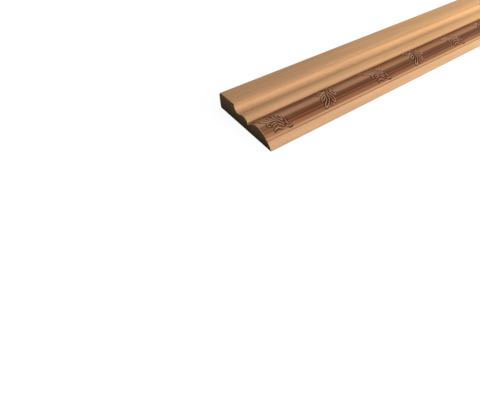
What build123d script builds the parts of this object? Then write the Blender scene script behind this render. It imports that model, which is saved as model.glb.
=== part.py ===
"""Carved wood moulding: one length of stock lying on its flat back.

The length runs along X and the carved face looks up. The thick edge is towards +Y and the thin
edge towards -Y. All sizes are in millimetres. The section is laid out from the thin edge, so the
plain flat beside the thick edge takes up any change of width.
"""
import os
from math import cos, radians, sin, sqrt

from build123d import *

# Stock
length = 2440.0
width = 92.0
thickness = 18.0

# Thick edge
edge_round = 4.2
back_round = 2.2

# Cove beside the flat, with a step above it and a flat floor
cove_wall = 1.8
cove_radius = 5.2
cove_floor = 1.0

# Ogee up to a narrow shelf with a rounded nose, and the quirk in front of it
ogee_run = 8.4
ogee_rise = 2.0
shelf_width = 0.6
nose_width = 8.2
nose_drop = 4.5
quirk_width = 1.1
quirk_depth = 0.4

# Carved torus band
band_width = 30.0
band_rise = 6.3

# Fillet along the thin edge
ledge_width = 1.7
ledge_fall = 0.5
front_run = 5.5
front_bulge = 0.3
toe_height = 1.3

# Leaves along the band
leaf_pitch = 70.4
end_margin = 19.0
leaf_relief = 0.9
leaf_lean = 45.0
leaf_middle = 14.5
lobe_width = 5.0
root_width = 3.4
stalk_width = 2.6
stalk_foot = -4.5
rib_width = 4.2
rib_end = 17.0

# Each lobe leaves the rib at a distance from the stalk, turns off it by an angle and reaches a tip.
lobes = [
    (3.5, -45.0, 14.5),
    (9.5, -39.0, 16.4),
    (15.0, -19.0, 14.6),
    (rib_end, 0.0, 15.0),
    (14.5, 26.0, 12.3),
    (9.5, 50.0, 12.8),
    (3.5, 59.0, 13.4),
]

# Heights above the flat back, from the top face downwards
cove_centre_z = thickness - cove_wall
cove_floor_z = cove_centre_z - cove_radius
shelf_z = cove_floor_z + ogee_rise
nose_foot_z = shelf_z - nose_drop
quirk_z = nose_foot_z - quirk_depth
crest_z = quirk_z + band_rise
ledge_z = quirk_z - ledge_fall

# Places across the width, from the thin edge to the thick edge
thin_edge_y = -width / 2
thick_edge_y = width / 2
ledge_y = thin_edge_y + front_run
band_front_y = ledge_y + ledge_width
band_middle_y = band_front_y + band_width / 2
band_back_y = band_front_y + band_width
nose_front_y = band_back_y + quirk_width
nose_back_y = nose_front_y + nose_width
ogee_front_y = nose_back_y + shelf_width
ogee_back_y = ogee_front_y + ogee_run
cove_centre_y = ogee_back_y + cove_floor
flat_front_y = cove_centre_y + cove_radius

# The torus is part of a cylinder, and the leaves reach up to a larger one on the same axis.
band_radius = (band_width**2 / 4 + band_rise**2) / (2 * band_rise)
band_axis_z = crest_z - band_radius
relief_radius = band_radius + leaf_relief
relief_reach = sqrt(relief_radius**2 - (quirk_z - band_axis_z) ** 2)


def leaf_outline(side):
    """One leaf seen from above. Its rib leans to the thick edge for side 1 and the thin edge for -1."""

    def heading(angle):
        turned = radians(180.0 - leaf_lean + angle)
        return Vector(cos(turned), side * sin(turned))

    def beside_rib(distance, offset):
        return heading(0.0) * (distance - leaf_middle) + heading(90.0) * offset

    with BuildSketch() as outline:
        Polygon(
            beside_rib(stalk_foot, -stalk_width / 2),
            beside_rib(rib_end, -rib_width / 2),
            beside_rib(rib_end, rib_width / 2),
            beside_rib(stalk_foot, stalk_width / 2),
            align=None,
        )
        for root, angle, reach in lobes:
            start = beside_rib(root, 0.0)
            middle = start + heading(angle) * (reach / 2)
            across = heading(angle + 90.0) * (lobe_width / 2)
            shoulder = heading(angle + 90.0) * (root_width / 2)
            with BuildLine():
                base = Line(start - shoulder, start + shoulder)
                rising = ThreePointArc(base @ 1, middle + across, start + heading(angle) * reach)
                ThreePointArc(rising @ 1, middle - across, base @ 0)
            make_face()
    return outline.sketch


def leaf_places(first):
    """Centres of every second leaf along the band, beginning with the one numbered first."""
    count = int((length - 2 * end_margin) // leaf_pitch) + 1
    start_x = end_margin - length / 2
    return [(start_x + index * leaf_pitch, band_middle_y) for index in range(first, count, 2)]


near_end = Plane.YZ.offset(-length / 2)

with BuildPart() as carved_moulding:
    # Leaves: the raised cylinder over the band, kept only inside the leaf outlines
    with BuildSketch(near_end) as raised_band:
        with BuildLine():
            foot = Line((band_middle_y - relief_reach, quirk_z), (band_middle_y + relief_reach, quirk_z))
            ThreePointArc(foot @ 1, (band_middle_y, crest_z + leaf_relief), foot @ 0)
        make_face()
    extrude(amount=length)
    with BuildSketch(Plane.XY) as leaves:
        with Locations(*leaf_places(0)):
            add(leaf_outline(1))
        with Locations(*leaf_places(1)):
            add(leaf_outline(-1))
    extrude(amount=thickness, mode=Mode.INTERSECT)

    # Plain run of the moulding that carries the leaves
    with BuildSketch(near_end) as section:
        with BuildLine():
            back = Line((thick_edge_y - back_round, 0), (thin_edge_y, 0))
            toe = Line(back @ 1, (thin_edge_y, toe_height))
            face_middle = ((thin_edge_y + ledge_y) / 2 - front_bulge, (toe_height + ledge_z) / 2)
            face = ThreePointArc(toe @ 1, face_middle, (ledge_y, ledge_z))
            ledge = Line(face @ 1, (band_front_y, quirk_z))
            torus = ThreePointArc(ledge @ 1, (band_middle_y, crest_z), (band_back_y, quirk_z))
            Polyline(torus @ 1, (nose_front_y, quirk_z), (nose_front_y, nose_foot_z))
            EllipticalCenterArc((nose_back_y, nose_foot_z), nose_width, nose_drop, 180, arc_size=-90)
            shelf = Line((nose_back_y, shelf_z), (ogee_front_y, shelf_z))
            ogee_middle = ((ogee_front_y + ogee_back_y) / 2, (shelf_z + cove_floor_z) / 2)
            bead = TangentArc(shelf @ 1, ogee_middle, tangent=shelf % 1)
            dip = TangentArc(bead @ 1, (ogee_back_y, cove_floor_z), tangent=bead % 1)
            floor = Line(dip @ 1, (cove_centre_y, cove_floor_z))
            cove = RadiusArc(floor @ 1, (flat_front_y, cove_centre_z), -cove_radius)
            flat_end = (thick_edge_y - edge_round, thickness)
            flat = Polyline(cove @ 1, (flat_front_y, thickness), flat_end)
            round_over = RadiusArc(flat @ 1, (thick_edge_y, thickness - edge_round), edge_round)
            thick_edge = Line(round_over @ 1, (thick_edge_y, back_round))
            RadiusArc(thick_edge @ 1, back @ 0, back_round)
        make_face()
    extrude(amount=length)

carved_moulding.part.label = "carved_moulding"
os.makedirs("parts", exist_ok=True)
export_step(carved_moulding.part, "parts/carved_moulding.step")
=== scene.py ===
"""Looks of a carved wood moulding: one length of stock with leaves carved along a burnished band."""

from math import cos, radians, sin, sqrt

import bmesh
import bpy
import numpy as np
from mathutils import Matrix, Vector
from mathutils.geometry import delaunay_2d_cdt


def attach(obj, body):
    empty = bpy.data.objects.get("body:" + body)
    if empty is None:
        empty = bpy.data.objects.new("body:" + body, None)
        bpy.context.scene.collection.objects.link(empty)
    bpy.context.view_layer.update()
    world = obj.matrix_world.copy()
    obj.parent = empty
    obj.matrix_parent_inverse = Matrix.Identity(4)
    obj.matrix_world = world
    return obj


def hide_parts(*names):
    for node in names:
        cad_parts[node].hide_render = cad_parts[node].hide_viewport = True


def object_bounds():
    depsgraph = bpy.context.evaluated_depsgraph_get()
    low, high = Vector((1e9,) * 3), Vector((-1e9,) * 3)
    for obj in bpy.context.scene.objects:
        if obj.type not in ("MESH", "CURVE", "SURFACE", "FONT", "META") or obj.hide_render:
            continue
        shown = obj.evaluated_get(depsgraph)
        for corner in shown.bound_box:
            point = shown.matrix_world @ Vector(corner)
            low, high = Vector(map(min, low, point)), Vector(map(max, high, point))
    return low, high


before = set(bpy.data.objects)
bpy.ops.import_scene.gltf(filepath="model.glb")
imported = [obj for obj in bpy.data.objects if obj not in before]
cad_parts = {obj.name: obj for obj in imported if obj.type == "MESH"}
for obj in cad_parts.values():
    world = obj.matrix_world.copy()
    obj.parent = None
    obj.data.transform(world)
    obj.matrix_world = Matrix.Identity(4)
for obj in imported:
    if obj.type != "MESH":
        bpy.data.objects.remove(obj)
cad_low, cad_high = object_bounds()

MM = 0.001

# Stock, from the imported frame
near_end_x, thin_edge_y, back_z = cad_low
far_end_x, thick_edge_y, top_z = cad_high

# Section, as the solid has it
EDGE_ROUND = 4.2 * MM
BACK_ROUND = 2.2 * MM
COVE_WALL = 1.8 * MM
COVE_RADIUS = 5.2 * MM
COVE_FLOOR = 1.0 * MM
OGEE_RUN = 8.4 * MM
OGEE_RISE = 2.0 * MM
SHELF_WIDTH = 0.6 * MM
NOSE_WIDTH = 8.2 * MM
NOSE_DROP = 4.5 * MM
QUIRK_WIDTH = 1.1 * MM
QUIRK_DEPTH = 0.4 * MM
BAND_WIDTH = 30.0 * MM
BAND_RISE = 6.3 * MM
LEDGE_WIDTH = 1.7 * MM
LEDGE_FALL = 0.5 * MM
FRONT_RUN = 5.5 * MM
FRONT_BULGE = 0.3 * MM
TOE_HEIGHT = 1.3 * MM

# Softened corners that the planer and the sandpaper leave
FLAT_ARRIS = 0.5 * MM
TOE_ARRIS = 0.4 * MM
END_ARRIS = 0.3 * MM

cove_centre_z = top_z - COVE_WALL
cove_floor_z = cove_centre_z - COVE_RADIUS
shelf_z = cove_floor_z + OGEE_RISE
nose_foot_z = shelf_z - NOSE_DROP
quirk_z = nose_foot_z - QUIRK_DEPTH
crest_z = quirk_z + BAND_RISE
ledge_z = quirk_z - LEDGE_FALL

ledge_y = thin_edge_y + FRONT_RUN
band_front_y = ledge_y + LEDGE_WIDTH
band_middle_y = band_front_y + BAND_WIDTH / 2
band_back_y = band_front_y + BAND_WIDTH
nose_front_y = band_back_y + QUIRK_WIDTH
nose_back_y = nose_front_y + NOSE_WIDTH
ogee_front_y = nose_back_y + SHELF_WIDTH
ogee_back_y = ogee_front_y + OGEE_RUN
cove_centre_y = ogee_back_y + COVE_FLOOR
flat_front_y = cove_centre_y + COVE_RADIUS

band_radius = (BAND_WIDTH**2 / 4 + BAND_RISE**2) / (2 * BAND_RISE)
band_axis_z = crest_z - band_radius

# Leaves along the band. The shift lays the carved leaf over the middle of the solid's leaf.
LEAF_PITCH = 70.4 * MM
END_MARGIN = 19.0 * MM
LEAF_SHIFT = -2.0 * MM

# Sizes of a leaf's carving, in millimetres: heights off the plain band, and half widths of the cuts
RELIEF = 0.5
GROOVE_DEPTH = 0.4
GROOVE_HALF = 0.42
SHOULDER = 0.8
SLIT_DEPTH = 0.35
SLIT_HALF = 0.5

# Share by which a ridge narrows at its ends
END_TAPER = 0.35

# How strongly each kind of cut is darkened by painted shade
RIDGE_SIDE_SHADE = 1.2
BAND_SIDE_SHADE = 0.9
SLIT_SHADE = 1.6
SCRIBE_SHADE = 0.4

# Carved ridges of a leaf: a curve through places along the stock and across the band, then a width.
# They are the rims of its fingers, from the oval one beside the stalk round to the lowest one, and
# then the two strokes of the stalk.
RIDGES = [
    ([(8.6, -5.6), (7.0, -3.0), (6.2, 0.0), (6.6, 2.8), (7.9, 4.5), (9.2, 2.8), (9.7, 0.0), (9.2, -3.0),
      (8.6, -5.6)], 1.4),
    ([(0.4, 3.4), (0.1, 7.0), (0.2, 9.6), (1.3, 10.8), (2.6, 9.8), (3.1, 6.4), (3.0, 1.4), (3.6, -1.6),
      (4.6, -4.0), (6.2, -6.6), (8.2, -9.0)], 1.35),
    ([(-4.4, 12.4), (-3.7, 10.4), (-3.1, 8.6)], 1.1),
    ([(3.2, -5.2), (2.2, -3.4), (1.2, -1.6), (0.0, 0.2), (-1.0, 2.2), (-1.9, 4.2), (-2.9, 6.2), (-4.3, 8.0),
      (-6.2, 9.6), (-8.4, 11.0), (-10.6, 12.2), (-12.2, 11.6), (-11.3, 10.0), (-9.6, 8.5), (-7.4, 7.0),
      (-5.6, 5.4), (-4.2, 3.8)], 1.3),
    ([(-3.6, 1.4), (-5.6, 2.7), (-7.6, 3.8), (-9.6, 4.9), (-11.0, 4.2), (-10.2, 2.6), (-8.6, 1.2),
      (-7.0, 0.3), (-5.4, -0.3), (-3.6, -0.7), (-2.4, -1.2), (-1.0, -2.2)], 1.25),
    ([(-4.2, -3.0), (-6.0, -2.7), (-7.6, -3.2), (-8.3, -4.5), (-7.3, -5.7), (-5.6, -5.9)], 1.2),
    ([(-4.6, -4.9), (-2.8, -4.5), (-1.0, -4.2), (0.8, -4.7), (2.0, -5.6)], 1.2),
    ([(-4.4, -7.3), (-2.8, -6.9), (-1.0, -6.7), (1.0, -6.4), (2.6, -6.9), (4.0, -8.1), (5.2, -9.4),
      (6.4, -10.7)], 1.3),
    ([(-5.0, -11.3), (-3.4, -10.4), (-1.2, -9.9), (0.8, -10.1), (2.2, -11.0), (3.4, -11.9)], 1.25),
    ([(11.6, -4.6), (10.8, -6.6), (11.0, -8.8), (11.2, -11.0)], 1.3),
    ([(8.2, -10.9), (10.6, -12.1), (13.0, -12.5), (14.4, -12.6)], 1.1),
]
SLITS = [
    [(7.8, 2.4), (7.9, -1.4)],
    [(1.5, 9.0), (1.6, 4.6)],
    [(-8.8, 2.8), (-5.4, 1.1)],
    [(-6.7, -4.3), (-5.4, -4.3)],
    [(-5.4, -12.5), (-3.4, -12.1), (-1.0, -11.5), (1.2, -12.1)],
    [(12.9, -4.2), (12.8, -8.0)],
    [(10.4, -13.9), (14.8, -13.9)],
]

# Fine lines scribed along the band, as distances from its middle towards the thin edge, in millimetres
SCRIBES = [-11.0, -8.6, -3.7, 3.2, 7.1, 9.9]
SCRIBE_DEPTH = 0.22
SCRIBE_HALF = 0.32
SCRIBE_CLEAR = 1.4

# Fineness of the mesh, in millimetres: paces along curves and lines, spacings and reaches of spread points
PACE = 0.6
LINE_PACE = 0.8
LINE_CLEAR = 0.6
LEAF_REACH = 16.0
CREASE_REACH = 14.6
CREASE_SPACING = 0.5
CREASE_CLEAR = 0.4
FILL_REACH = 14.2
FILL_SPACING = 1.5
FILL_CLEAR = 0.75
MERGE_DISTANCE = 0.02

# How far a point of an outline may be off its level, where ridges meet, and still be kept
INNER_SLACK = 0.12
OUTER_SLACK = 0.06

# Search for creases: rounds, the trial step, the longest step, the least slope and the accepted gap
CREASE_ROUNDS = 3
CREASE_TRIAL = 0.02
CREASE_STEP = 0.4
CREASE_SLOPE = 0.2
CREASE_GAP = 0.02

# Lengthwise lines of the band, and faces round the nose
BAND_LINES = 14
NOSE_STEPS = 12

WELD_DISTANCE = 0.004 * MM
SHARP_ANGLE = 34.0

# Finishes of the faces
PLAIN, BAND, END = 0, 1, 2


def arc(centre, reach, start, end, steps):
    """Points across the section on a circle or ellipse, from one angle in degrees to the other."""
    angles = np.radians(np.linspace(start, end, steps + 1))
    return [(centre[0] + reach[0] * cos(a), centre[1] + reach[1] * sin(a)) for a in angles]


def ogee():
    """The bead and the dip of the ogee, two equal arcs that meet half way."""
    half_run = OGEE_RUN / 2
    half_rise = OGEE_RISE / 2
    radius = (half_run**2 + half_rise**2) / (2 * half_rise)
    turn = np.degrees(np.arcsin(half_run / radius))
    bead = arc((ogee_front_y, shelf_z - radius), (radius, radius), 90, 90 - turn, 6)
    dip = arc((ogee_back_y, cove_floor_z + radius), (radius, radius), 270 - turn, 270, 6)
    return bead + dip[1:]


def front_face():
    """The thin edge from its toe up to the ledge, with its slight bulge."""
    run = []
    for t in np.linspace(0.0, 1.0, 7):
        bulge = FRONT_BULGE * 4 * t * (1 - t)
        y = thin_edge_y + FRONT_RUN * t - bulge
        run.append((max(y, thin_edge_y), TOE_HEIGHT + (ledge_z - TOE_HEIGHT) * t))
    return run


def plain_section():
    """The section outside the band, from the quirk over the flat and round the back to the ledge."""
    run = [(band_back_y, quirk_z), (nose_front_y, quirk_z)]
    run += arc((nose_back_y, nose_foot_z), (NOSE_WIDTH, NOSE_DROP), 180, 90, NOSE_STEPS)
    run += ogee()
    run += arc((cove_centre_y, cove_centre_z), (COVE_RADIUS, COVE_RADIUS), 270, 360, 12)
    run += arc((flat_front_y + FLAT_ARRIS, top_z - FLAT_ARRIS), (FLAT_ARRIS, FLAT_ARRIS), 180, 90, 4)
    run += arc((thick_edge_y - EDGE_ROUND, top_z - EDGE_ROUND), (EDGE_ROUND, EDGE_ROUND), 90, 0, 10)
    run += arc((thick_edge_y - BACK_ROUND, back_z + BACK_ROUND), (BACK_ROUND, BACK_ROUND), 0, -90, 6)
    run += arc((thin_edge_y + TOE_ARRIS, back_z + TOE_ARRIS), (TOE_ARRIS, TOE_ARRIS), 270, 180, 3)
    run += front_face()
    run += [(band_front_y, quirk_z)]
    return run


def on_band(x, across, lift):
    """A point of the band from its place along the stock, its distance from the middle and its lift."""
    lean = across / band_radius
    reach = band_radius + lift
    return (x, band_middle_y + reach * lean, band_axis_z + reach * sqrt(1 - lean * lean))


def smooth_path(points, side):
    """A curve through the points with a place at about every pace; side -1 mirrors it across the band."""
    spots = np.array(points) * (1.0, side)
    spots = np.concatenate([[2 * spots[0] - spots[1]], spots, [2 * spots[-1] - spots[-2]]])
    rows = []
    for before, first, second, after in zip(spots, spots[1:], spots[2:], spots[3:]):
        count = max(2, round(np.linalg.norm(second - first) / PACE))
        for t in np.arange(count) / count:
            bend = 2 * before - 5 * first + 4 * second - after
            twist = 3 * first - before - 3 * second + after
            rows.append(first + (t * (second - before) + t * t * bend + t**3 * twist) / 2)
    return np.array(rows + [spots[-2]])


def beside(path):
    """Unit directions along a path and across it."""
    steps = np.gradient(path, axis=0)
    along = steps / np.linalg.norm(steps, axis=1)[:, None]
    return along, np.stack([-along[:, 1], along[:, 0]], axis=1)


class Ridge:
    """One carved ridge of a leaf: a row of discs along a curve, in millimetres."""

    def __init__(self, form, side):
        points, width = form
        self.centres = smooth_path(points, side)
        from_middle = np.linspace(-1.0, 1.0, len(self.centres))
        self.radii = width / 2 * (1 - END_TAPER * from_middle**8)

    def depth(self, points):
        """How far each point lies inside the ridge's outline; negative outside it."""
        gaps = np.linalg.norm(points[:, None, :] - self.centres[None, :, :], axis=2)
        return (self.radii[None, :] - gaps).max(axis=1)

    def outline(self, level):
        """Points round the ridge where its depth is the level."""
        along, across = beside(self.centres)
        reach = (self.radii - level)[:, None]
        left = self.centres + reach * across
        right = self.centres - reach * across
        turn = np.linspace(0.3, -0.3, 3) * np.pi
        tip = [self.centres[-1] + reach[-1] * (cos(a) * along[-1] + sin(a) * across[-1]) for a in turn]
        root = [self.centres[0] - reach[0] * (cos(a) * along[0] + sin(a) * across[0]) for a in turn]
        return np.array(list(left) + tip + list(right[::-1]) + root)


class Leaf:
    """A leaf of narrow ridges with V grooves round them; side -1 mirrors it across the band."""

    def __init__(self, side):
        self.ridges = [Ridge(form, side) for form in RIDGES]
        self.slits = [smooth_path(points, side) for points in SLITS]

    def depths(self, points):
        """Depth inside the nearest and the second nearest ridge."""
        ranked = np.sort(np.stack([ridge.depth(points) for ridge in self.ridges]), axis=0)
        return ranked[-1], ranked[-2]

    def from_groove(self, points):
        """Distance from the bottom of the nearest groove, positive on the ridge side of it."""
        first, second = self.depths(points)
        inward = first + GROOVE_HALF
        between = (first - second) / 2
        return np.where((second > -2 * GROOVE_HALF) & (inward > 0), np.minimum(inward, between), inward)

    def in_slit(self, points):
        """How deep in a slit each point lies, from 0 at its edge to 1 at the bottom."""
        spots = np.concatenate(self.slits)
        gaps = np.linalg.norm(points[:, None, :] - spots[None, :, :], axis=2).min(axis=1)
        return np.clip(1 - gaps / SLIT_HALF, 0.0, 1.0)

    def lift(self, points):
        """Height of the carving off the plain band."""
        edge = self.from_groove(points)
        share = np.clip(edge / SHOULDER, 0.0, 1.0)
        inside = -GROOVE_DEPTH + (RELIEF + GROOVE_DEPTH) * np.sqrt(1 - (1 - share) ** 2)
        outside = -GROOVE_DEPTH * np.clip(1 + edge / GROOVE_HALF, 0.0, 1.0)
        surface = np.where(edge > 0, inside, outside)
        return surface - self.in_slit(points) * np.maximum(surface + SLIT_DEPTH, 0.0)

    def carve(self, points):
        """Strength of the painted shade in the cuts: how deep in a groove or slit each point lies, from 0
        on the surface to 1 at the bottom, times the shade of that kind of cut.
        """
        edge = self.from_groove(points)
        groove = (1 - np.abs(edge) / GROOVE_HALF) * np.where(edge > 0, RIDGE_SIDE_SHADE, BAND_SIDE_SHADE)
        return np.clip(np.maximum(groove, SLIT_SHADE * self.in_slit(points)), 0.0, 1.0)

    def body(self, points):
        """1 on the leaf's ridges, 0 on the band round them."""
        return np.clip(self.from_groove(points) / GROOVE_HALF, 0.0, 1.0)


class BandPlan:
    """The points and lines from which one stretch of the band is triangulated, seen from above."""

    def __init__(self, leaf):
        self.leaf = leaf
        self.points = []
        self.lines = []

    def add_path(self, path, wanted):
        """Adds the wanted points of a path, and a line between those that follow each other."""
        last = None
        for point, good in zip(path, wanted):
            if not good:
                last = None
                continue
            self.points.append(point)
            if last is not None:
                self.lines.append((last, len(self.points) - 1))
            last = len(self.points) - 1

    def add_outlines(self):
        """Groove edges, groove bottoms and the rounding of each ridge, where no other ridge covers them."""
        levels = (-2 * GROOVE_HALF, -GROOVE_HALF, SHOULDER - GROOVE_HALF)
        for ridge in self.leaf.ridges:
            for level in levels:
                outline = ridge.outline(level)
                edge = self.leaf.from_groove(outline)
                if level > -GROOVE_HALF:
                    wanted = edge > level + GROOVE_HALF - INNER_SLACK
                else:
                    wanted = edge < level + GROOVE_HALF + OUTER_SLACK
                self.add_path(outline, wanted)

    def add_slits(self):
        """Each slit's bottom and its two edges."""
        for slit in self.leaf.slits:
            along, across = beside(slit)
            ring = np.concatenate([slit[:1] - along[:1] * SLIT_HALF, (slit + across * SLIT_HALF)[::2],
                                   slit[-1:] + along[-1:] * SLIT_HALF, (slit - across * SLIT_HALF)[::-2]])
            self.add_path(slit[::2], [True] * len(slit[::2]))
            self.add_path(ring, [True] * len(ring))

    def add_creases(self):
        """Points along the creases where two ridges meet closer than a groove's width."""
        spots = hexagon_grid(CREASE_SPACING, LEAF_REACH, CREASE_REACH)
        for _ in range(CREASE_ROUNDS):
            spots = spots - self.crease_step(spots)
        first, second = self.leaf.depths(spots)
        on_crease = (np.abs(first - second) < CREASE_GAP) & (second > -GROOVE_HALF)
        self.add_scattered(spots[on_crease], CREASE_CLEAR)

    def crease_step(self, spots):
        """The step that takes each spot to where its two nearest ridges are equally deep."""
        gap = self.crease_gap(spots)
        slope = np.stack([
            (self.crease_gap(spots + np.array([CREASE_TRIAL, 0.0])) - gap) / CREASE_TRIAL,
            (self.crease_gap(spots + np.array([0.0, CREASE_TRIAL])) - gap) / CREASE_TRIAL,
        ], axis=1)
        size = np.maximum((slope**2).sum(axis=1), CREASE_SLOPE)
        step = slope * (gap / size)[:, None]
        return np.clip(step, -CREASE_STEP, CREASE_STEP)

    def crease_gap(self, spots):
        """How much deeper each spot lies in its nearest ridge than in the second nearest."""
        first, second = self.leaf.depths(spots)
        return first - second

    def add_scattered(self, spots, clear):
        """Adds those spots that keep clear of every point there is."""
        for spot in spots:
            near = np.linalg.norm(np.array(self.points) - spot, axis=1).min()
            if near > clear:
                self.points.append(spot)

    def add_band_lines(self, left, right):
        """Lengthwise lines of the band and its scribes, from end to end except where the leaf is."""
        stations = np.linspace(left, right, int((right - left) / LINE_PACE))
        for across in band_line_places():
            path = np.stack([stations, np.full_like(stations, across)], axis=1)
            clear = self.leaf.depths(path)[0] < -SCRIBE_CLEAR
            for start, end in runs_of(clear):
                self.add_path(path[[start, end]], [True, True])


def hexagon_grid(spacing, reach_x, reach_y):
    """Evenly spread points over the leaf's rectangle."""
    rows = np.arange(-reach_y, reach_y, spacing * sqrt(3) / 2)
    spots = []
    for index, y in enumerate(rows):
        shift = spacing / 2 if index % 2 else 0.0
        spots += [(x, y) for x in np.arange(-reach_x + shift, reach_x, spacing)]
    return np.array(spots)


def runs_of(flags):
    """First and last place of each unbroken run of true flags."""
    padded = np.concatenate([[False], flags, [False]]).astype(int)
    change = np.diff(padded)
    return list(zip(np.where(change == 1)[0], np.where(change == -1)[0] - 1))


def band_line_places():
    """Distances from the band's middle where lengthwise lines run, from the thin edge to the thick edge."""
    half = BAND_WIDTH / MM / 2
    plain = np.linspace(-half, half, BAND_LINES + 1)
    cut = [-place + offset for place in SCRIBES for offset in (-SCRIBE_HALF, 0.0, SCRIBE_HALF)]
    kept = [p for p in plain if abs(p) == half or np.abs(np.array(cut) - p).min() > LINE_CLEAR]
    return sorted(kept + cut)


def scribe_cut(across):
    """Depth of the scribed lines at a distance from the band's middle, as a share from 0 to 1."""
    gaps = np.abs(across[:, None] + np.array(SCRIBES)[None, :]).min(axis=1)
    return np.clip(1 - gaps / SCRIBE_HALF, 0.0, 1.0)


def band_stretch(side, left, right):
    """One leaf with the band on both sides of it: points, lifts, marks and triangles."""
    leaf = Leaf(side)
    plan = BandPlan(leaf)
    plan.add_band_lines(left, right)
    plan.add_outlines()
    plan.add_slits()
    plan.add_creases()
    spots = hexagon_grid(FILL_SPACING, LEAF_REACH, FILL_REACH)
    plan.add_scattered(spots[leaf.depths(spots)[0] > -GROOVE_HALF], FILL_CLEAR)
    half = BAND_WIDTH / MM / 2
    rim = [(left, -half), (right, -half), (right, half), (left, half)]
    first = len(plan.points)
    plan.points += [np.array(corner) for corner in rim]
    plan.lines += [(first + i, first + (i + 1) % 4) for i in range(4)]
    found = delaunay_2d_cdt([Vector(p) for p in plan.points], plan.lines, [], 0, MERGE_DISTANCE)
    points = np.array([tuple(p) for p in found[0]])
    triangles = found[2]
    lift = leaf.lift(points)
    beyond_groove = -leaf.depths(points)[0] - 2 * GROOVE_HALF
    apart = np.clip(beyond_groove / (SCRIBE_CLEAR - 2 * GROOVE_HALF), 0.0, 1.0)
    scribe = scribe_cut(points[:, 1]) * apart
    lift -= SCRIBE_DEPTH * scribe
    # The carve mark is the strength of the painted shade in the cuts and the scribed lines
    marks = {"carve": np.maximum(leaf.carve(points), SCRIBE_SHADE * scribe), "leaf": leaf.body(points)}
    return points, lift, marks, triangles


def leaf_stations():
    """Centre of every leaf and the two ends of its stretch of band, along the stock."""
    count = int((far_end_x - near_end_x - 2 * END_MARGIN) // LEAF_PITCH) + 1
    rows = []
    for index in range(count):
        centre = near_end_x + END_MARGIN + LEAF_SHIFT + index * LEAF_PITCH
        left = near_end_x + END_ARRIS if index == 0 else centre - LEAF_PITCH / 2
        right = far_end_x - END_ARRIS if index == count - 1 else centre + LEAF_PITCH / 2
        rows.append((centre, left, right))
    return rows


class StockMesh:
    """Collects the points, faces and marks of the whole length of stock."""

    def __init__(self):
        self.points = []
        self.faces = []
        self.finishes = []
        self.marks = {"carve": [], "leaf": []}

    def add(self, points, faces, finish, marks=None):
        """Adds points and the faces between them, with one finish or a list of them."""
        first = len(self.points)
        self.points += [tuple(p) for p in points]
        self.faces += [tuple(first + i for i in face) for face in faces]
        self.finishes += finish if isinstance(finish, list) else [finish] * len(faces)
        for name, values in self.marks.items():
            values += list(marks[name]) if marks else [0.0] * len(points)

    def add_band(self):
        """Every stretch of the band; stretches of the same kind share one triangulation."""
        made = {}
        for index, (centre, left, right) in enumerate(leaf_stations()):
            side = -1 if index % 2 else 1
            kind = (side, round((left - centre) / MM, 4), round((right - centre) / MM, 4))
            if kind not in made:
                made[kind] = band_stretch(*kind)
            points, lift, marks, triangles = made[kind]
            places = [on_band(centre + p[0] * MM, p[1] * MM, h * MM) for p, h in zip(points, lift)]
            self.add(places, triangles, BAND, marks)

    def add_plain_run(self):
        """The rest of the section, swept from end to end through the same stations as the band."""
        section = plain_section()
        stations = [row[1] for row in leaf_stations()] + [leaf_stations()[-1][2]]
        count = len(section)
        points = [(x, y, z) for x in stations for y, z in section]
        faces = []
        for row in range(len(stations) - 1):
            for i in range(count - 1):
                corner = row * count + i
                faces.append((corner, corner + 1, corner + count + 1, corner + count))
        # The quirk floor, the nose and the ledge take the band's finish, so that its streaks paint shade
        # into the quirk, on the nose's foot and in the crease at the ledge
        ledge = count - 2
        finishes = [BAND if i < NOSE_STEPS or i == ledge else PLAIN for i in range(count - 1)]
        self.add(points, faces, finishes * (len(stations) - 1))

    def add_end(self, end_x, inward):
        """A cut end: the section drawn in by a small arris, and the flat sawn face."""
        places = np.array(band_line_places()[1:-1])
        lifts = -SCRIBE_DEPTH * scribe_cut(places)
        rim = plain_section() + [on_band(0.0, p * MM, h * MM)[1:] for p, h in zip(places, lifts)]
        rim_line = np.array(rim)
        ahead = np.roll(rim_line, -1, axis=0) - np.roll(rim_line, 1, axis=0)
        ahead /= np.linalg.norm(ahead, axis=1)[:, None]
        inside = np.stack([ahead[:, 1], -ahead[:, 0]], axis=1) * END_ARRIS
        drawn_in = rim_line + inside
        count = len(rim)
        outer = [(end_x + inward * END_ARRIS, y, z) for y, z in rim_line]
        inner = [(end_x, y, z) for y, z in drawn_in]
        arris = [(i, (i + 1) % count, count + (i + 1) % count, count + i) for i in range(count)]
        self.add(outer + inner, arris, PLAIN)
        self.add(inner, [tuple(range(count))], END)

    def finish(self, name):
        """One closed mesh with its finishes and marks."""
        mesh = bpy.data.meshes.new(name)
        mesh.from_pydata(self.points, [], self.faces)
        mesh.polygons.foreach_set("material_index", self.finishes)
        for label, values in self.marks.items():
            mark = mesh.attributes.new(label, "FLOAT", "POINT")
            mark.data.foreach_set("value", values)
        weld(mesh)
        mesh.polygons.foreach_set("use_smooth", [True] * len(mesh.polygons))
        mesh.set_sharp_from_angle(angle=radians(SHARP_ANGLE))
        return mesh


def weld(mesh):
    """Joins the points that lie on each other and turns every face outwards."""
    work = bmesh.new()
    work.from_mesh(mesh)
    bmesh.ops.remove_doubles(work, verts=work.verts, dist=WELD_DISTANCE)
    bmesh.ops.recalc_face_normals(work, faces=work.faces)
    work.to_mesh(mesh)
    work.free()


def add_node(tree, kind, values=None, **settings):
    """A node with its settings and, for each named input, a constant or a link."""
    made = tree.nodes.new(kind)
    for name, value in settings.items():
        setattr(made, name, value)
    for name, value in (values or {}).items():
        if isinstance(value, bpy.types.NodeSocket):
            tree.links.new(value, made.inputs[name])
        else:
            made.inputs[name].default_value = value
    return made


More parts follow.
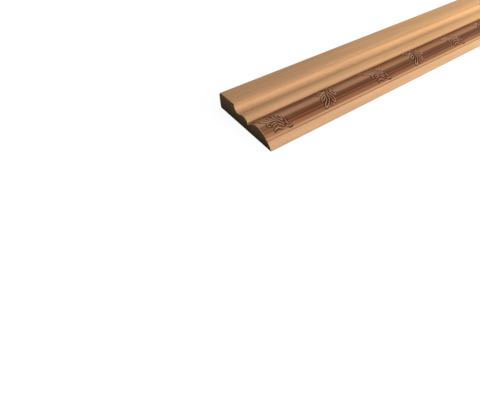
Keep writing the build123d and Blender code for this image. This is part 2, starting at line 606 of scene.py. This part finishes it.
def math_node(tree, operation, *values):
    """The result of a calculation with constants or links."""
    return add_node(tree, "ShaderNodeMath", dict(enumerate(values)), operation=operation).outputs[0]


def shade(red, green, blue):
    """A colour given by its display values from 0 to 255."""
    parts = []
    for value in (red, green, blue):
        share = value / 255
        parts.append(share / 12.92 if share <= 0.04045 else ((share + 0.055) / 1.055) ** 2.4)
    return (*parts, 1.0)


def mix_colours(tree, factor, first, second, blend="MIX"):
    """Two colours blended by a factor, each a constant or a link."""
    made = add_node(tree, "ShaderNodeMix", data_type="RGBA", blend_type=blend)
    for index, value in ((0, factor), (6, first), (7, second)):
        if isinstance(value, bpy.types.NodeSocket):
            tree.links.new(value, made.inputs[index])
        else:
            made.inputs[index].default_value = value
    return made.outputs[2]


def grey(tree, value):
    """A grey of the given value."""
    return add_node(tree, "ShaderNodeCombineColor", {0: value, 1: value, 2: value}).outputs[0]


def new_group(name, outputs, inputs=()):
    """An empty shader group with named outputs and inputs."""
    group = bpy.data.node_groups.new(name, "ShaderNodeTree")
    for label, kind in outputs:
        group.interface.new_socket(label, in_out="OUTPUT", socket_type=kind)
    for label, kind, value in inputs:
        socket = group.interface.new_socket(label, in_out="INPUT", socket_type=kind)
        socket.default_value = value
    return group


def stretched_noise(tree, place, scale, detail=2.0, roughness=0.5):
    """Noise drawn out along the stock; the scale gives features a metre along X, Y and Z."""
    spread = add_node(tree, "ShaderNodeMapping", {"Vector": place, "Scale": scale})
    noise = add_node(tree, "ShaderNodeTexNoise", {"Vector": spread.outputs[0], "Scale": 1.0,
                     "Detail": detail, "Roughness": roughness})
    return noise.outputs["Fac"]


# Figure of the wood: what its group gives, and features a metre along X, Y and Z
FIGURE = ("Rings", "Fibres", "Pores", "Cloud")
FIBRE_SCALE = (7.0, 360.0, 360.0)
PORE_SCALE = (110.0, 2600.0, 2600.0)
CLOUD_SCALE = (4.0, 42.0, 42.0)
SPECK_SCALE = (400.0, 2200.0, 2200.0)
SAW_SCALE = (500.0, 60.0, 2400.0)

# Depth of the fine relief
PLANED_RELIEF = 0.06 * MM
POLISHED_RELIEF = 0.04 * MM
SAWN_RELIEF = 0.1 * MM


def wood_figure_group():
    """Growth rings, fibres, pores and soft clouding of one solid piece of wood."""
    group = new_group("wood_figure", [(name, "NodeSocketFloat") for name in FIGURE])
    place = add_node(group, "ShaderNodeTexCoord").outputs["Object"]
    heart = add_node(group, "ShaderNodeMapping", {"Vector": place, "Location": (0.0, -0.03, 0.075),
                     "Rotation": (0.0, radians(0.9), radians(0.5)), "Scale": (0.05, 1.0, 1.0)})
    rings = add_node(group, "ShaderNodeTexWave", {"Vector": heart.outputs[0], "Scale": 62.0,
                     "Distortion": 2.4, "Detail": 2.0, "Detail Scale": 0.6},
                     wave_type="RINGS", rings_direction="X")
    fibres = stretched_noise(group, place, FIBRE_SCALE, detail=4.0, roughness=0.6)
    dashes = stretched_noise(group, place, PORE_SCALE)
    pores = add_node(group, "ShaderNodeMapRange", {"Value": dashes, "From Min": 0.62, "From Max": 0.74})
    cloud = stretched_noise(group, place, CLOUD_SCALE)
    add_node(group, "NodeGroupOutput", {"Rings": rings.outputs["Fac"], "Fibres": fibres,
             "Pores": pores.outputs[0], "Cloud": cloud})


def cut_group():
    """Where the carver's tool has cut, as the strength of the painted shade in the cuts, and where the leaf
    stands.
    """
    group = new_group("carver_cuts", [("Cut", "NodeSocketFloat"), ("Leaf", "NodeSocketFloat")])
    cut = add_node(group, "ShaderNodeAttribute", attribute_name="carve")
    leaf = add_node(group, "ShaderNodeAttribute", attribute_name="leaf")
    add_node(group, "NodeGroupOutput", {"Cut": cut.outputs["Fac"], "Leaf": leaf.outputs["Fac"]})


# Wood and its cuts
PALE_WOOD = shade(219, 171, 126)
TAN_WOOD = shade(202, 153, 110)
PORE_BROWN = shade(150, 103, 70)
# Painted shade in the grooves, slits and scribed lines
GROOVE_SHADE = shade(54, 22, 10)
# Paler ridges of the leaf: partly their own paler wood, partly painted highlight
LEAF_PALE_HIGHLIGHT = shade(222, 168, 130)
LEAF_HIGHLIGHT_SHARE = 0.5
# End grain colours, darker partly as painted shade of the end
END_PALE = shade(146, 110, 74)
END_DARK = shade(84, 62, 42)

# Streaks of the band: partly its own dark and pale lines, partly painted sheen and painted shade
BURNT = shade(94, 51, 27)
CHESTNUT = shade(114, 63, 29)
UMBER = shade(113, 69, 42)
RUSSET = shade(140, 85, 54)
COPPER = shade(151, 98, 66)
ROSE = shade(174, 121, 88)
BLUSH = shade(183, 133, 104)
AMBER = shade(184, 118, 70)

# Tints that the wood and its streaks take on away from the near end
GOLDEN = (1.0, 1.0, 0.86, 1.0)
DEEPER = (0.78, 0.67, 0.45, 1.0)

# Where these changes start and end, in metres from the near end, and the streaks' strength at that end
GOLDEN_RUN = (0.07, 0.3)
DEEPER_RUN = (0.05, 0.26)
FAINT_RUN = (0.0, 0.05)
FAINT_STREAKS = 0.75

# Streaks across the band from the thick edge to the thin edge: distance from its middle, colour, strength
# Painted shade: the dark stops from -17.4 to -15.4 darken the nose's foot and the quirk, and those from
# 15.4 to 16.8 the crease at the band's foot and the ledge. The amber stops on the back slope are painted
# sheen and painted light that the lamps don't give that slope. The dark stops in front of the crest are
# partly the band's own dark lines and partly painted shade.
BAND_STREAKS = [
    (-17.4, UMBER, 0.0), (-16.4, UMBER, 0.25), (-16.0, CHESTNUT, 0.9), (-15.4, CHESTNUT, 0.9),
    (-14.4, AMBER, 0.9), (-11.0, AMBER, 0.9), (-9.6, RUSSET, 0.9), (-8.0, RUSSET, 0.9), (-4.6, ROSE, 0.95),
    (-2.2, BLUSH, 0.95), (-0.4, BLUSH, 0.95), (1.6, ROSE, 0.95), (3.4, UMBER, 1.0), (5.0, UMBER, 1.0),
    (7.2, BURNT, 1.0), (8.6, RUSSET, 1.0), (9.8, BURNT, 1.0), (11.0, RUSSET, 1.0), (12.0, COPPER, 1.0),
    (13.6, COPPER, 1.0), (14.35, BLUSH, 0.2), (14.8, BLUSH, 0.2), (15.4, UMBER, 0.3), (16.4, UMBER, 0.7),
    (16.8, UMBER, 0.6),
]


def figured_wood(name, sheen):
    """A new material with its shader and the wood's figure."""
    made = bpy.data.materials.new(name)
    made.use_nodes = True
    tree = made.node_tree
    shader = tree.nodes["Principled BSDF"]
    shader.inputs["Specular IOR Level"].default_value = sheen
    figure = add_node(tree, "ShaderNodeGroup", node_tree=bpy.data.node_groups["wood_figure"])
    return made, tree, shader, figure.outputs


def grain_bump(tree, figure, depth):
    """Fine relief of the fibres and pores."""
    relief = math_node(tree, "SUBTRACT", figure["Fibres"], figure["Pores"])
    bump = add_node(tree, "ShaderNodeBump", {"Height": relief, "Strength": 0.35, "Distance": depth})
    return bump.outputs[0]


def along_stock(tree, place, run, first=0.0, last=1.0):
    """A value that changes between two distances from the near end, in metres."""
    start, end = run
    x = add_node(tree, "ShaderNodeSeparateXYZ", {0: place}).outputs["X"]
    return add_node(tree, "ShaderNodeMapRange", {"Value": x, "From Min": near_end_x + start,
                    "From Max": near_end_x + end, "To Min": first, "To Max": last}).outputs[0]


def planed_colour_group():
    """Colour of the planed wood from its figure."""
    group = new_group("planed_colour", [("Color", "NodeSocketColor")],
                      [(name, "NodeSocketFloat", 0.0) for name in FIGURE])
    figure = add_node(group, "NodeGroupInput").outputs
    figure_tone = math_node(group, "MULTIPLY_ADD", figure["Rings"], 0.35, figure["Cloud"])
    tone = add_node(group, "ShaderNodeMapRange", {"Value": figure_tone, "From Min": 0.35, "From Max": 0.95})
    colour = mix_colours(group, tone.outputs[0], PALE_WOOD, TAN_WOOD)
    fibre_tone = math_node(group, "MULTIPLY_ADD", figure["Fibres"], 0.6, 0.7)
    colour = mix_colours(group, 1.0, colour, grey(group, fibre_tone), "MULTIPLY")
    colour = mix_colours(group, math_node(group, "MULTIPLY", figure["Pores"], 0.5), colour, PORE_BROWN)
    place = add_node(group, "ShaderNodeTexCoord").outputs["Object"]
    colour = mix_colours(group, along_stock(group, place, GOLDEN_RUN), colour, GOLDEN, "MULTIPLY")
    add_node(group, "NodeGroupOutput", {"Color": colour})


def place_group(tree, name, values):
    """A shared group placed in a material with its own values."""
    made = add_node(tree, "ShaderNodeGroup", node_tree=bpy.data.node_groups[name])
    for label, value in values.items():
        tree.links.new(value, made.inputs[label])
    return made.outputs


def plain_wood():
    """Planed pale hardwood."""
    made, tree, shader, figure = figured_wood("planed_wood", 0.2)
    colour = place_group(tree, "planed_colour", {name: figure[name] for name in FIGURE})["Color"]
    tree.links.new(colour, shader.inputs["Base Color"])
    tree.links.new(math_node(tree, "MULTIPLY_ADD", figure["Fibres"], 0.2, 0.42), shader.inputs["Roughness"])
    tree.links.new(grain_bump(tree, figure, PLANED_RELIEF), shader.inputs["Normal"])
    return made


def band_streaks(tree, place):
    """Colour and strength of the streaks across the band, partly its own lines and partly painted sheen and
    painted shade.
    """
    low = BAND_STREAKS[0][0]
    high = BAND_STREAKS[-1][0]
    y = add_node(tree, "ShaderNodeSeparateXYZ", {0: place}).outputs["Y"]
    share = add_node(tree, "ShaderNodeMapRange", {"Value": y, "From Min": band_middle_y - low * MM,
                     "From Max": band_middle_y - high * MM})
    ramp = add_node(tree, "ShaderNodeValToRGB", {"Fac": share.outputs[0]})
    stops = ramp.color_ramp.elements
    for across, *_ in BAND_STREAKS[1:-1]:
        stops.new((across - low) / (high - low))
    for stop, (across, colour, strength) in zip(stops, BAND_STREAKS):
        stop.position = (across - low) / (high - low)
        stop.color = (*colour[:3], strength)
    return ramp.outputs


def band_with_painted_light():
    """The carved band, with streaks along the stock that are partly its own dark and pale lines and partly
    painted sheen and painted shade.
    """
    made, tree, shader, figure = figured_wood("band_with_painted_light", 0.08)
    cuts = place_group(tree, "carver_cuts", {})
    place = add_node(tree, "ShaderNodeTexCoord").outputs["Object"]
    streaks = band_streaks(tree, place)
    wander = math_node(tree, "MULTIPLY_ADD", figure["Fibres"], 0.7, 0.65)
    wander = math_node(tree, "MULTIPLY", wander, along_stock(tree, place, FAINT_RUN, FAINT_STREAKS))
    strength = add_node(tree, "ShaderNodeMath", {0: streaks["Alpha"], 1: wander}, operation="MULTIPLY",
                        use_clamp=True).outputs[0]
    deepened = along_stock(tree, place, DEEPER_RUN)
    streaks_with_painted_light = mix_colours(tree, deepened, streaks["Color"], DEEPER, "MULTIPLY")
    colour = place_group(tree, "planed_colour", {name: figure[name] for name in FIGURE})["Color"]
    colour = mix_colours(tree, strength, colour, streaks_with_painted_light)
    # Ridges paler: partly the leaf's own paler wood, partly painted highlight
    colour = mix_colours(tree, math_node(tree, "MULTIPLY", cuts["Leaf"], LEAF_HIGHLIGHT_SHARE), colour, LEAF_PALE_HIGHLIGHT)
    # Painted shade in the cuts
    colour = mix_colours(tree, cuts["Cut"], colour, GROOVE_SHADE)
    tree.links.new(colour, shader.inputs["Base Color"])
    tree.links.new(math_node(tree, "MULTIPLY_ADD", cuts["Cut"], 0.25, 0.5), shader.inputs["Roughness"])
    tree.links.new(grain_bump(tree, figure, POLISHED_RELIEF), shader.inputs["Normal"])
    return made


def end_grain():
    """Sawn end grain, darker than the planed faces, partly as end grain is and partly as painted shade of
    the end that faces away from the lamps.
    """
    made, tree, shader, figure = figured_wood("end_grain", 0.1)
    place = add_node(tree, "ShaderNodeTexCoord").outputs["Object"]
    specks = stretched_noise(tree, place, SPECK_SCALE)
    tone = math_node(tree, "MULTIPLY_ADD", figure["Rings"], 0.25, math_node(tree, "MULTIPLY", specks, 0.7))
    colour = mix_colours(tree, tone, END_PALE, END_DARK)
    # Painted shade: the end darkens towards the bottom, down to 0.12 at the back face
    height = add_node(tree, "ShaderNodeSeparateXYZ", {0: place}).outputs["Z"]
    end_shade = add_node(tree, "ShaderNodeMapRange", {"Value": height, "From Min": back_z, "From Max": top_z,
                     "To Min": 0.12, "To Max": 1.0})
    colour = mix_colours(tree, 1.0, colour, grey(tree, end_shade.outputs[0]), "MULTIPLY")
    tree.links.new(colour, shader.inputs["Base Color"])
    shader.inputs["Roughness"].default_value = 0.8
    saw = stretched_noise(tree, place, SAW_SCALE)
    bump = add_node(tree, "ShaderNodeBump", {"Height": saw, "Strength": 0.4, "Distance": SAWN_RELIEF})
    tree.links.new(bump.outputs[0], shader.inputs["Normal"])
    return made


# Floor: its own grey for the light that falls on it, and the white that the camera sees beside the stock
FLOOR_GREY = 0.15
FLOOR_WHITE = 0.92
FLOOR_REACH = 14.0
FLOOR_GAP = 0.2 * MM

# Distances from the stock between which the floor turns fully white, in metres
WHITE_RUN = (0.1, 0.35)


def from_stock(tree):
    """Distance of a floor point from the stock's middle line or past its ends, in metres."""
    place = add_node(tree, "ShaderNodeTexCoord").outputs["Object"]
    parts = add_node(tree, "ShaderNodeSeparateXYZ", {0: place}).outputs
    past_end = math_node(tree, "SUBTRACT", math_node(tree, "ABSOLUTE", parts["X"]), far_end_x)
    return math_node(tree, "MAXIMUM", past_end, math_node(tree, "ABSOLUTE", parts["Y"]))


def white_floor():
    """A floor that the camera sees as white with a faint shadow round the stock; other rays see it grey."""
    made = bpy.data.materials.new("pale_floor")
    made.use_nodes = True
    tree = made.node_tree
    shader = tree.nodes["Principled BSDF"]
    shader.inputs["Roughness"].default_value = 1.0
    shader.inputs["Specular IOR Level"].default_value = 0.0
    ray = add_node(tree, "ShaderNodeLightPath").outputs
    seen = math_node(tree, "MAXIMUM", ray["Is Camera Ray"], ray["Is Glossy Ray"])
    seen = math_node(tree, "MAXIMUM", seen, ray["Is Transmission Ray"])
    shader.inputs["Base Color"].default_value = (FLOOR_GREY, FLOOR_GREY, FLOOR_GREY, 1.0)
    white = add_node(tree, "ShaderNodeMapRange", {"Value": from_stock(tree), "From Min": WHITE_RUN[0],
                     "From Max": WHITE_RUN[1], "To Min": FLOOR_WHITE, "To Max": 1.0})
    strength = math_node(tree, "MULTIPLY", seen, white.outputs[0])
    glow = add_node(tree, "ShaderNodeEmission", {"Strength": strength})
    both = add_node(tree, "ShaderNodeAddShader", {0: shader.outputs[0], 1: glow.outputs[0]})
    tree.links.new(both.outputs[0], tree.nodes["Material Output"].inputs["Surface"])
    return made


def add_floor():
    """The floor just under the stock."""
    mesh = bpy.data.meshes.new("floor")
    corners = [(x * FLOOR_REACH, y * FLOOR_REACH, 0) for x, y in ((-1, -1), (1, -1), (1, 1), (-1, 1))]
    mesh.from_pydata(corners, [], [(0, 1, 2, 3)])
    floor = bpy.data.objects.new("floor", mesh)
    floor.location.z = back_z - FLOOR_GAP
    mesh.materials.append(white_floor())
    bpy.context.scene.collection.objects.link(floor)


# Strength of the even light from all round
FILL_LEVEL = 0.09


def add_world():
    """White for the camera, and a soft even fill for the object."""
    world = bpy.data.worlds.new("studio")
    bpy.context.scene.world = world
    world.use_nodes = True
    tree = world.node_tree
    ray = add_node(tree, "ShaderNodeLightPath").outputs
    seen = math_node(tree, "MAXIMUM", ray["Is Camera Ray"], ray["Is Transmission Ray"])
    strength = add_node(tree, "ShaderNodeMapRange", {"Value": seen, "To Min": FILL_LEVEL, "To Max": 1.0})
    tree.links.new(strength.outputs[0], tree.nodes["Background"].inputs["Strength"])
    tree.nodes["Background"].inputs["Color"].default_value = (1.0, 1.0, 1.0, 1.0)


# Lamps: a long low one in front of the stock, a wide one over its middle that leaves the ends dimmer,
# and a weak long one behind the thick edge
FRONT_POWER = 9.7
FRONT_SIZE = (5.6, 0.12)
FRONT_DISTANCE = 0.36
FRONT_HEIGHT = 27.0
TOP_POWER = 6.0
TOP_SIZE = (2.0, 0.8)
TOP_DISTANCE = 0.4
TOP_HEIGHT = 80.0
BACK_POWER = 1.8
BACK_SIZE = (5.6, 0.3)
BACK_DISTANCE = 0.5
BACK_HEIGHT = 155.0


def add_lamp(name, power, size, distance, height):
    """A soft box along the stock, turned towards it, at a height in degrees from the thin edge's side."""
    lamp = bpy.data.lights.new(name, "AREA")
    lamp.energy = power
    lamp.shape = "RECTANGLE"
    lamp.size, lamp.size_y = size
    box = bpy.data.objects.new(name, lamp)
    box.location = (0.0, -cos(radians(height)) * distance, top_z + sin(radians(height)) * distance)
    box.rotation_euler = (radians(90.0 - height), 0.0, 0.0)
    box.visible_camera = False
    bpy.context.scene.collection.objects.link(box)


# Camera, from the photograph's perspective lines
CAMERA_PLACE = Vector((-1.3299, -0.1789, 0.1509))
CAMERA_AZIMUTH = -28.35
CAMERA_ELEVATION = 54.23
CAMERA_ROLL = -5.69
CAMERA_LENS = 18.0


def add_camera():
    """The photograph's viewpoint: azimuth 0 looks along +Y, elevation is above the horizon."""
    azimuth = radians(CAMERA_AZIMUTH)
    elevation = radians(CAMERA_ELEVATION)
    ahead = Vector((-sin(azimuth) * cos(elevation), cos(azimuth) * cos(elevation), -sin(elevation)))
    level = ahead.cross(Vector((0, 0, 1))).normalized()
    upright = level.cross(ahead)
    right = level * cos(radians(CAMERA_ROLL)) + upright * sin(radians(CAMERA_ROLL))
    up = right.cross(ahead)
    data = bpy.data.cameras.new("camera")
    data.lens = CAMERA_LENS
    data.sensor_width = 36.0
    data.clip_start = 0.01
    data.clip_end = 100.0
    camera = bpy.data.objects.new("camera", data)
    turn = Matrix((right, up, -ahead)).transposed().to_4x4()
    camera.matrix_world = Matrix.Translation(CAMERA_PLACE) @ turn
    bpy.context.scene.collection.objects.link(camera)
    bpy.context.scene.camera = camera


def add_stock():
    """The carved length of stock, in place of the plain solid."""
    build = StockMesh()
    build.add_band()
    build.add_plain_run()
    build.add_end(near_end_x, 1)
    build.add_end(far_end_x, -1)
    mesh = build.finish("carved_stock")
    for material in (plain_wood(), band_with_painted_light(), end_grain()):
        mesh.materials.append(material)
    stock = bpy.data.objects.new("carved_stock", mesh)
    bpy.context.scene.collection.objects.link(stock)
    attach(stock, "root")
    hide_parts("carved_moulding")


bpy.context.scene.view_settings.view_transform = "Standard"
wood_figure_group()
planed_colour_group()
cut_group()
add_stock()
add_floor()
add_world()
add_lamp("front_lamp", FRONT_POWER, FRONT_SIZE, FRONT_DISTANCE, FRONT_HEIGHT)
add_lamp("top_lamp", TOP_POWER, TOP_SIZE, TOP_DISTANCE, TOP_HEIGHT)
add_lamp("back_lamp", BACK_POWER, BACK_SIZE, BACK_DISTANCE, BACK_HEIGHT)
add_camera()
